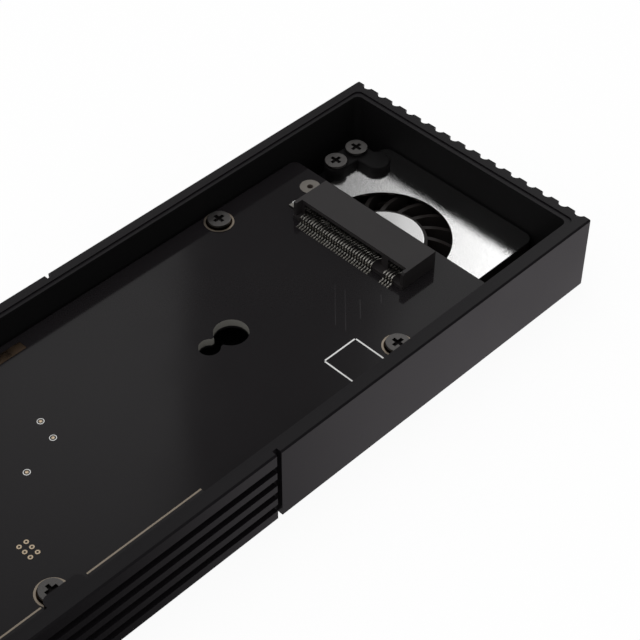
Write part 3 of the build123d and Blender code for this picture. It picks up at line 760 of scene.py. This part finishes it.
class FinishMotor(bpy.types.Operator):
    """Impeller, its bright can and the motor inside"""
    bl_idname = "enclosure.finish_motor"
    bl_label = "Finish motor"

    def execute(self, context):
        look = context.scene.blower_finish
        blades, s, bsdf = surface("impeller_moulding", look.plastic, roughness=0.42, specular=0.24,
                                  size=0.2 * MM, depth=0.001 * MM, contrast=0.1, drift=3 * MM)
        tips = s.ramp(s.nearest([FAN_SPOT]), BLADE_ROOT, BLADE_TIP)
        blend_input(s, bsdf, "Roughness", tips, look.tip_roughness)
        dress("impeller", blades)
        dress("rotor_can", rolled_metal("drawn_can", look.can, roughness=0.2, length=2 * MM,
                                        width=0.1 * MM))
        inner = context.scene.inner_finish
        steel = surface("motor_steel", inner.steel, roughness=0.35, metallic=1.0, size=0.1 * MM)[0]
        dress("stator_core", steel)
        dress("rotor_shaft", steel)
        dress("rotor_magnet", surface("motor_ferrite", inner.magnet, roughness=0.6, size=0.1 * MM,
                                      depth=0.004 * MM)[0])
        dress("stator_windings", surface("winding_enamel", inner.enamel, roughness=0.3, metallic=1.0,
                                         size=0.08 * MM, depth=0.01 * MM, contrast=0.25)[0])
        dress("shaft_bearing", surface("sintered_bronze", inner.bronze, roughness=0.5, metallic=1.0,
                                       size=0.06 * MM, depth=0.004 * MM, contrast=0.3)[0])
        return {"FINISHED"}


# Port and the parts under the board

class FinishPort(bpy.types.Operator):
    """Drawn shell of the port, with plated strips on its tongue"""
    bl_idname = "enclosure.finish_port"
    bl_label = "Finish port"

    def execute(self, context):
        inner = context.scene.inner_finish
        shell = rolled_metal("port_steel", inner.port, roughness=0.28, length=3 * MM, width=0.1 * MM)
        dress("port_shell", shell)
        look = context.scene.socket_finish
        gold = surface("tongue_plating", look.contact, roughness=0.25, metallic=1.0, size=0.1 * MM)[0]
        settle("tongue_contacts", tongue_strips, gold)
        return {"FINISHED"}


def tongue_strips(work):
    """Plated strips on both faces of the port's tongue."""
    middle_z = (TONGUE_LOW.z + TONGUE_HIGH.z) / 2
    start, end = TONGUE_LOW.x + STRIP_START, TONGUE_LOW.x + STRIP_END
    upper, lower = middle_z + TONGUE_HALF, middle_z - TONGUE_HALF
    for i in range(STRIP_COUNT):
        y = (i - (STRIP_COUNT - 1) / 2) * STRIP_PITCH
        add_bar(work, (start, y), (end, y), STRIP_WIDTH, upper, upper + STRIP_LIFT)
        add_bar(work, (start, y), (end, y), STRIP_WIDTH, lower - STRIP_LIFT, lower)


class FinishUnderside(bpy.types.Operator):
    """Chips, inductors and the soft pad under the board"""
    bl_idname = "enclosure.finish_underside"
    bl_label = "Finish underside"

    def execute(self, context):
        inner = context.scene.inner_finish
        chip = surface("chip_moulding", inner.chip, roughness=0.5, specular=0.4, size=0.1 * MM,
                       depth=0.004 * MM)[0]
        dress("bridge_chip", chip)
        dress("support_chips", chip)
        dress("power_inductors", surface("inductor_ferrite", inner.inductor, roughness=0.65,
                                         size=0.2 * MM, depth=0.01 * MM, contrast=0.2)[0])
        dress("thermal_pad", surface("soft_pad", inner.pad, roughness=0.8, size=0.2 * MM,
                                     depth=0.01 * MM)[0])
        return {"FINISHED"}


# Stage

CAMERA_PLACE = (-0.096383, -0.125309, 0.176138)
CAMERA_AIM = (0.023833, -0.006881, 0.008)
CAMERA_ROLL = math.radians(0.3364)
SENSOR_WIDTH = 36.0
CLIP_START = 0.01

# Floor: white card with its shadow to the eye, and a glow that grows along X to the gloss
FLOOR_REACH = 1.2
FLOOR_DROP = 0.02 * MM
CARD = (0.85, 0.85, 0.85)
WHITE = (1.0, 1.0, 1.0)
WHITE_SHARE = 0.92
GLOW_TINT = (1.0, 0.95, 0.99)
GLOW_FROM = -42 * MM
GLOW_TO = 37 * MM
GLOW_LOW = 0.04
GLOW_HIGH = 0.93

# Lamp over the tray
LAMP_PLACE = (-0.25, 0.1, 0.6)
LAMP_SIZE = 0.5
LAMP_POWER = 0.6

# Tent: bearings are counted from +X towards +Y, and heights from the ground up
EDGE_HEIGHT = math.radians(44.4)
WINDOW_LEAN = 0.3
GAP_LEAN = 0.1
SOFT_EDGE = math.radians(1.6)
SHARP_EDGE = math.radians(0.4)
FADE_FROM, FADE_TO = math.radians(52), math.radians(95)
STEEP_FROM, STEEP_TO = math.radians(45), math.radians(56)
FRONT_FROM, FRONT_TO = math.radians(-28), math.radians(-12)


def tent_strength(s, look):
    """Brightness of the tent in the direction that a reflection looks."""
    direction = s.node("ShaderNodeTexCoord").outputs["Generated"]
    parts = s.node("ShaderNodeSeparateXYZ", {"Vector": direction})
    bearing = s.maths("ARCTAN2", parts.outputs["Y"], parts.outputs["X"])
    above = s.maths("ARCSINE", parts.outputs["Z"])
    raised = s.maths("SUBTRACT", above, EDGE_HEIGHT)
    window_edge = s.maths("SUBTRACT", bearing, s.maths("MULTIPLY", raised, WINDOW_LEAN))
    gap_edge = s.maths("SUBTRACT", bearing, s.maths("MULTIPLY", raised, GAP_LEAN))
    past_window = s.ramp(window_edge, look.gap_from - SOFT_EDGE, look.gap_from + SOFT_EDGE)
    past_gap = s.ramp(gap_edge, look.gap_to - SHARP_EDGE, look.gap_to + SHARP_EDGE)
    level = s.ramp(past_window, 0.0, 1.0, look.window, look.gap)
    fade = s.ramp(bearing, FADE_FROM, FADE_TO, look.tent, look.dark)
    steep = s.ramp(above, STEEP_FROM, STEEP_TO, 1.0, look.overhead)
    beyond = s.maths("SUBTRACT", s.maths("MULTIPLY", fade, steep), look.gap)
    front = s.ramp(bearing, FRONT_FROM, FRONT_TO)
    lit = s.maths("MULTIPLY", front, s.maths("ADD", level, s.maths("MULTIPLY", past_gap, beyond)))
    return s.maths("MAXIMUM", lit, look.dark)


def gloss_only(s):
    """1 for the rays that reflections and glass send out."""
    path = s.node("ShaderNodeLightPath")
    return s.maths("MAXIMUM", path.outputs["Is Glossy Ray"], path.outputs["Is Transmission Ray"])


def studio_world(look):
    """Plain white light, with a tent round the part that shows only in gloss."""
    world = bpy.data.worlds.new("tent")
    world.use_nodes = True
    s = Shader(world.node_tree)
    tent = world.node_tree.nodes["Background"]
    s.feed(tent.inputs["Color"], WHITE)
    s.feed(tent.inputs["Strength"], tent_strength(s, look))
    white = s.node("ShaderNodeBackground", {"Color": WHITE, "Strength": 1.0})
    mixed = s.node("ShaderNodeMixShader", {0: gloss_only(s), 1: white.outputs[0], 2: tent.outputs[0]})
    s.feed(world.node_tree.nodes["World Output"].inputs["Surface"], mixed.outputs[0])
    bpy.context.scene.world = world


def floor_material():
    """White card: plain white with a faint shadow to the eye, and a glow in gloss."""
    made = bpy.data.materials.new("floor_card")
    made.use_nodes = True
    s = Shader(made.node_tree)
    tree = made.node_tree
    tree.nodes.remove(tree.nodes["Principled BSDF"])
    card = s.node("ShaderNodeBsdfDiffuse", {"Color": CARD})
    white = s.node("ShaderNodeEmission", {"Color": WHITE, "Strength": 1.0})
    glow = s.node("ShaderNodeEmission", {"Color": GLOW_TINT})
    s.feed(glow.inputs["Strength"], s.ramp(s.axes()["X"], GLOW_FROM, GLOW_TO, GLOW_LOW, GLOW_HIGH))
    seen = s.node("ShaderNodeMixShader", {0: WHITE_SHARE, 1: card.outputs[0], 2: white.outputs[0]})
    eye = s.node("ShaderNodeLightPath").outputs["Is Camera Ray"]
    lit = s.node("ShaderNodeMixShader", {0: eye, 1: card.outputs[0], 2: seen.outputs[0]})
    final = s.node("ShaderNodeMixShader", {0: gloss_only(s), 1: lit.outputs[0], 2: glow.outputs[0]})
    s.feed(tree.nodes["Material Output"].inputs["Surface"], final.outputs[0])
    return made


def lay_floor():
    """A wide white card, just under the case."""
    data = bpy.data.meshes.new("floor")
    reach = FLOOR_REACH
    corners = [(-reach, -reach), (reach, -reach), (reach, reach), (-reach, reach)]
    data.from_pydata([(x, y, -FLOOR_DROP) for x, y in corners], [], [(0, 1, 2, 3)])
    floor = bpy.data.objects.new("floor", data)
    floor.data.materials.append(floor_material())
    bpy.context.scene.collection.objects.link(floor)


def hang_lamp():
    """A broad soft lamp over the tray, for a little shape in the shadows."""
    lamp = bpy.data.lights.new("overhead", "AREA")
    lamp.shape = "DISK"
    lamp.size = LAMP_SIZE
    lamp.energy = LAMP_POWER
    placed = bpy.data.objects.new("overhead", lamp)
    placed.location = LAMP_PLACE
    placed.rotation_euler = placed.location.to_track_quat("Z", "Y").to_euler()
    bpy.context.scene.collection.objects.link(placed)


def set_camera(look):
    """The camera at the near left, high over the port end's side."""
    data = bpy.data.cameras.new("camera")
    data.lens = look.lens
    data.sensor_width = SENSOR_WIDTH
    data.clip_start = CLIP_START
    placed = bpy.data.objects.new("camera", data)
    ahead = Vector(CAMERA_AIM) - Vector(CAMERA_PLACE)
    turn = ahead.to_track_quat("-Z", "Y").to_matrix() @ Matrix.Rotation(CAMERA_ROLL, 3, "Z")
    placed.matrix_world = Matrix.Translation(CAMERA_PLACE) @ turn.to_4x4()
    bpy.context.scene.collection.objects.link(placed)
    bpy.context.scene.camera = placed


class SetStage(bpy.types.Operator):
    """White floor, tent, lamp and camera"""
    bl_idname = "enclosure.set_stage"
    bl_label = "Set stage"

    def execute(self, context):
        look = context.scene.studio_look
        studio_world(look)
        lay_floor()
        hang_lamp()
        set_camera(look)
        context.scene.view_settings.view_transform = "Standard"
        return {"FINISHED"}


OPERATORS = (FinishCase, FinishBracket, FinishBoard, PrintBoard, RaiseTraces, FinishSocket,
             FinishFixings, FinishBlower, FinishMotor, FinishPort, FinishUnderside, SetStage)


class EnclosurePanel(bpy.types.Panel):
    """Lists the enclosure's finishes and sizes"""
    bl_idname = "VIEW3D_PT_enclosure"
    bl_label = "Enclosure"
    bl_space_type = "VIEW_3D"
    bl_region_type = "UI"
    bl_category = "Enclosure"

    def draw(self, context):
        for operator in OPERATORS:
            self.layout.operator(operator.bl_idname)
        for name, group in GROUPS.items():
            box = self.layout.box()
            box.label(text=group.__name__)
            for key in group.__annotations__:
                box.prop(getattr(context.scene, name), key)


def register():
    for name, group in GROUPS.items():
        bpy.utils.register_class(group)
        setattr(bpy.types.Scene, name, bpy.props.PointerProperty(type=group))
    for operator in OPERATORS:
        bpy.utils.register_class(operator)
    bpy.utils.register_class(EnclosurePanel)


def unregister():
    bpy.utils.unregister_class(EnclosurePanel)
    for operator in reversed(OPERATORS):
        bpy.utils.unregister_class(operator)
    for name, group in GROUPS.items():
        delattr(bpy.types.Scene, name)
        bpy.utils.unregister_class(group)


def main():
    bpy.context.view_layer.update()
    register()
    for operator in OPERATORS:
        family, action = operator.bl_idname.split(".")
        getattr(getattr(bpy.ops, family), action)()
    bpy.context.view_layer.update()


if __name__ == "__main__":
    main()
